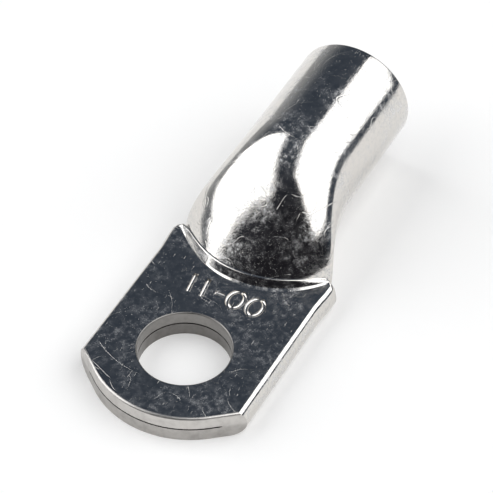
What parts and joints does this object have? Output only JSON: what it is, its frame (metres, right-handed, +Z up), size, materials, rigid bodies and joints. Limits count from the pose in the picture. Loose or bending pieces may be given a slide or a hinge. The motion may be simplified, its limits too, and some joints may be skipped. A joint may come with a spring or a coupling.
{
  "type": "copper cable lug",
  "caption": "Tinned copper tube lug: a round barrel with a cable bore, pressed flat into a palm with one stud hole",
  "frame": {"origin": "centre of the stud hole on the underside of the palm", "axes": "+X runs along the barrel to its cable mouth, +Z is up out of the palm's top face, and the part is symmetric about the XZ plane"},
  "size_m": [0.0638, 0.0264, 0.0185],
  "materials": {
    "tinned_copper": "bright electroplated tin on copper, lightly scuffed, with fine scratches"
  },
  "bodies": {
    "root": {"cable_lug": "tinned_copper"}
  },
  "joints": []
}
